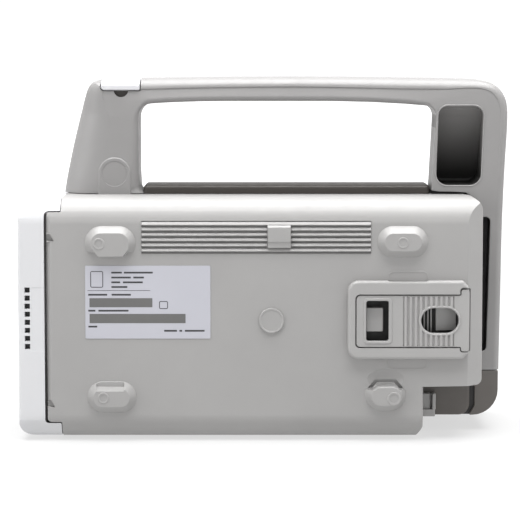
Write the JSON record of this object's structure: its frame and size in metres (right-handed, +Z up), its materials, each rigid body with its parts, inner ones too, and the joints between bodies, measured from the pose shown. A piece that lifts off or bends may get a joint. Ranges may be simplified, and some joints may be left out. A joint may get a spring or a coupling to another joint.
{
  "type": "patient monitor",
  "caption": "Compact transport patient monitor: carrying handle, touch screen, front keys, patient sockets, sliding battery, docking pads and a spring latch on one side.",
  "frame": {"origin": "middle of the bounding box, on the plane of the flat base", "axes": "+Z up, -Y out of the screen, +X out of the docking side, -X out of the patient sockets"},
  "size_m": [0.086, 0.2001, 0.146],
  "materials": {
    "housing_light_grey": "fine spark texture, light warm grey",
    "bezel_white": "satin white",
    "handle_grey": "fine spark texture, mid grey",
    "handle_strip_dark": "matt dark brown-grey rubber",
    "seal_rubber": "matt black",
    "lamp_lens": "frosted white",
    "screen_glass": "polished, dark when off",
    "display_black": "black",
    "display_frame_steel": "zinc plated sheet",
    "circuit_board": "green solder mask",
    "key_white": "satin white",
    "silicone": "translucent silicone",
    "speaker_black": "black",
    "light_pipe": "frosted clear",
    "latch_grey": "fine spark texture, light warm grey",
    "spring_steel": "bright wire",
    "battery_dark_grey": "fine spark texture, dark grey",
    "bay_black": "black",
    "contact_black": "black with plated pins",
    "eject_light_grey": "light grey",
    "panel_grey": "fine spark texture, mid grey",
    "socket_white": "satin white",
    "socket_blue": "satin blue",
    "socket_red": "satin red",
    "socket_brown": "satin brown",
    "connector_black": "black",
    "chassis_steel": "zinc plated sheet",
    "pump_steel": "nickel plated can",
    "flex_polyimide": "amber film",
    "label_foil": "blue-grey polyester film, blank",
    "screw_steel": "zinc plated"
  },
  "bodies": {
    "housing": {"docking_side_housing": "housing_light_grey", "socket_side_housing": "housing_light_grey", "front_bezel": "bezel_white", "bezel_seal_docking_side": "seal_rubber", "bezel_seal_socket_side": "seal_rubber", "handle": "handle_grey", "handle_base_strip": "handle_strip_dark", "alarm_lamp_lens": "lamp_lens", "alarm_lamp_board": "circuit_board", "touch_glass": "screen_glass", "display_panel": "display_black", "display_frame": "display_frame_steel", "front_board": "circuit_board", "key_mat": "silicone", "status_light_pipe": "light_pipe", "loudspeaker": "speaker_black", "latch_frame": "latch_grey", "latch_spring": "spring_steel", "battery_bay": "bay_black", "battery_contacts": "contact_black", "eject_spring": "spring_steel", "socket_panel": "panel_grey", "ecg_socket": "socket_white", "spo2_socket": "socket_blue", "cuff_air_fitting": "socket_red", "pressure_socket": "socket_red", "temperature_socket": "socket_brown", "docking_connector": "connector_black", "main_board": "circuit_board", "measurement_board": "circuit_board", "shield_plate": "chassis_steel", "chassis_frame": "chassis_steel", "cuff_pump": "pump_steel", "cuff_valve_block": "connector_black", "cuff_air_tube": "silicone", "pump_air_tube": "silicone", "display_flex_cable": "flex_polyimide", "rating_label": "label_foil", "case_screw_1": "screw_steel", "case_screw_2": "screw_steel", "case_screw_3": "screw_steel", "case_screw_4": "screw_steel", "handle_screw_front": "screw_steel", "handle_screw_rear": "screw_steel"},
    "key_standby": {"key_standby": "key_white"},
    "key_silence": {"key_silence": "key_white"},
    "key_alarm_pause": {"key_alarm_pause": "key_white"},
    "key_main_screen": {"key_main_screen": "key_white"},
    "latch": {"latch_slider": "latch_grey"},
    "battery": {"battery_pack": "battery_dark_grey"},
    "eject_button": {"battery_eject_button": "eject_light_grey"}
  },
  "joints": [
    {"name": "key_standby_press", "type": "slide", "parent": "housing", "child": "key_standby", "axis": [0, 1, 0], "range_m": [0, 0.0008], "stiffness_N_per_m": 800, "springref_m": -0.0006},
    {"name": "key_silence_press", "type": "slide", "parent": "housing", "child": "key_silence", "axis": [0, 1, 0], "range_m": [0, 0.0008], "stiffness_N_per_m": 800, "springref_m": -0.0006},
    {"name": "key_alarm_pause_press", "type": "slide", "parent": "housing", "child": "key_alarm_pause", "axis": [0, 1, 0], "range_m": [0, 0.0008], "stiffness_N_per_m": 800, "springref_m": -0.0006},
    {"name": "key_main_screen_press", "type": "slide", "parent": "housing", "child": "key_main_screen", "axis": [0, 1, 0], "range_m": [0, 0.0008], "stiffness_N_per_m": 800, "springref_m": -0.0006},
    {"name": "latch_slide", "type": "slide", "parent": "housing", "child": "latch", "axis": [0, 1, 0], "range_m": [0, 0.005], "stiffness_N_per_m": 300, "springref_m": -0.003, "deforming": ["latch_spring"]},
    {"name": "battery_slide", "type": "slide", "parent": "housing", "child": "battery", "axis": [0, 1, 0], "range_m": [0, 0.075]},
    {"name": "eject_press", "type": "slide", "parent": "housing", "child": "eject_button", "axis": [0, -1, 0], "range_m": [0, 0.003], "stiffness_N_per_m": 300, "springref_m": -0.003, "deforming": ["eject_spring"]}
  ]
}
